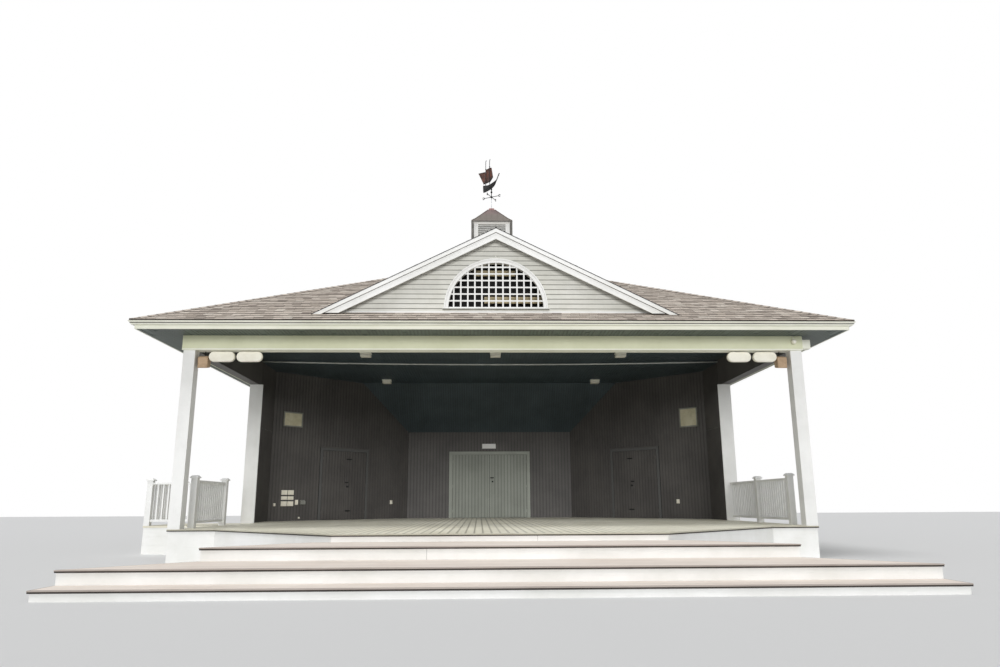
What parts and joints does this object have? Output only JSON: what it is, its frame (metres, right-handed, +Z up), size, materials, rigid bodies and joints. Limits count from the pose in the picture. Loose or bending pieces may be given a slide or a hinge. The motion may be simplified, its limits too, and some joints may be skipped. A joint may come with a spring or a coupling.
{
  "type": "bandstand",
  "caption": "Open timber bandstand with a raised stage, hipped shingle roof on square posts, front gable with a fan vent, splayed walls with doors, louvred cupola and ship weathervane.",
  "frame": {"origin": "on the ground, midway between the two front posts", "axes": "+X to the right of someone facing the stage, +Y towards the back, +Z up"},
  "size_m": [15.1775, 16.665, 10.99],
  "materials": {
    "white_paint": "white painted timber",
    "cream_paint": "cream painted timber",
    "charcoal_paint": "charcoal painted grooved boards",
    "grey_green_paint": "grey-green painted boards",
    "dark_teal_paint": "dark teal painted beaded boards",
    "stage_boards": "pale painted deck boards",
    "step_boards": "weathered timber treads",
    "shingles": "boarded deck covered with mineral-surfaced shingles",
    "gutter_enamel": "cream enamelled gutter",
    "copper": "brown weathered copper",
    "dark_iron": "blackened iron"
  },
  "bodies": {
    "bandstand": {"stage_base": "white_paint", "stage_floor": "stage_boards", "step_treads": "step_boards", "step_frames": "white_paint", "front_posts": "white_paint", "rear_posts": "white_paint", "front_beam": "cream_paint", "left_side_beam": "cream_paint", "right_side_beam": "cream_paint", "left_side_wall": "white_paint", "right_side_wall": "white_paint", "rear_wall_left": "charcoal_paint", "rear_wall_right": "charcoal_paint", "rear_wall_over_door": "charcoal_paint", "left_splay_rear": "charcoal_paint", "left_splay_front": "charcoal_paint", "left_splay_over_door": "charcoal_paint", "right_splay_rear": "charcoal_paint", "right_splay_front": "charcoal_paint", "right_splay_over_door": "charcoal_paint", "door_casings": "charcoal_paint", "door_stops": "charcoal_paint", "flat_ceiling": "dark_teal_paint", "sloped_ceiling": "dark_teal_paint", "fascia_boards": "cream_paint", "soffit_boards": "dark_teal_paint", "gutters": "gutter_enamel", "roof_front": "shingles", "roof_back": "shingles", "roof_left": "shingles", "roof_right": "shingles", "gable_roof": "shingles", "rake_boards": "white_paint", "gable_wall": "white_paint", "vent_lattice": "white_paint", "cupola_body": "white_paint", "cupola_louvres": "white_paint", "cupola_roof": "copper", "vane_spindle": "dark_iron", "right_railing": "white_paint", "left_railing": "white_paint", "landing_railing": "white_paint", "side_landing": "stage_boards", "side_steps": "step_boards"},
    "rear_door_left": {"rear_door_left": "grey_green_paint"},
    "rear_door_right": {"rear_door_right": "grey_green_paint"},
    "left_door_front": {"left_door_front": "charcoal_paint"},
    "left_door_rear": {"left_door_rear": "charcoal_paint"},
    "right_door_rear": {"right_door_rear": "charcoal_paint"},
    "right_door_front": {"right_door_front": "charcoal_paint"},
    "weathervane": {"vane_ship": "copper"}
  },
  "joints": [
    {"name": "rear_door_left_hinge", "type": "hinge", "parent": "bandstand", "child": "rear_door_left", "pos_m": [-1.23, 9.852, 1.63], "axis": [0, 0, -1], "range_deg": [0, 105]},
    {"name": "rear_door_right_hinge", "type": "hinge", "parent": "bandstand", "child": "rear_door_right", "pos_m": [1.23, 9.852, 1.63], "axis": [0, 0, 1], "range_deg": [0, 105]},
    {"name": "left_door_front_hinge", "type": "hinge", "parent": "bandstand", "child": "left_door_front", "pos_m": [-5.00985, 7.53055, 1.63], "axis": [0, 0, -1], "range_deg": [0, 105]},
    {"name": "left_door_rear_hinge", "type": "hinge", "parent": "bandstand", "child": "left_door_rear", "pos_m": [-3.88555, 8.65485, 1.63], "axis": [0, 0, 1], "range_deg": [0, 105]},
    {"name": "right_door_rear_hinge", "type": "hinge", "parent": "bandstand", "child": "right_door_rear", "pos_m": [3.88555, 8.65485, 1.63], "axis": [0, 0, -1], "range_deg": [0, 105]},
    {"name": "right_door_front_hinge", "type": "hinge", "parent": "bandstand", "child": "right_door_front", "pos_m": [5.00985, 7.53055, 1.63], "axis": [0, 0, 1], "range_deg": [0, 105]},
    {"name": "vane_turn", "type": "hinge", "parent": "bandstand", "child": "weathervane", "pos_m": [0, 4.95625, 9.97], "axis": [0, 0, 1], "continuous": true}
  ]
}
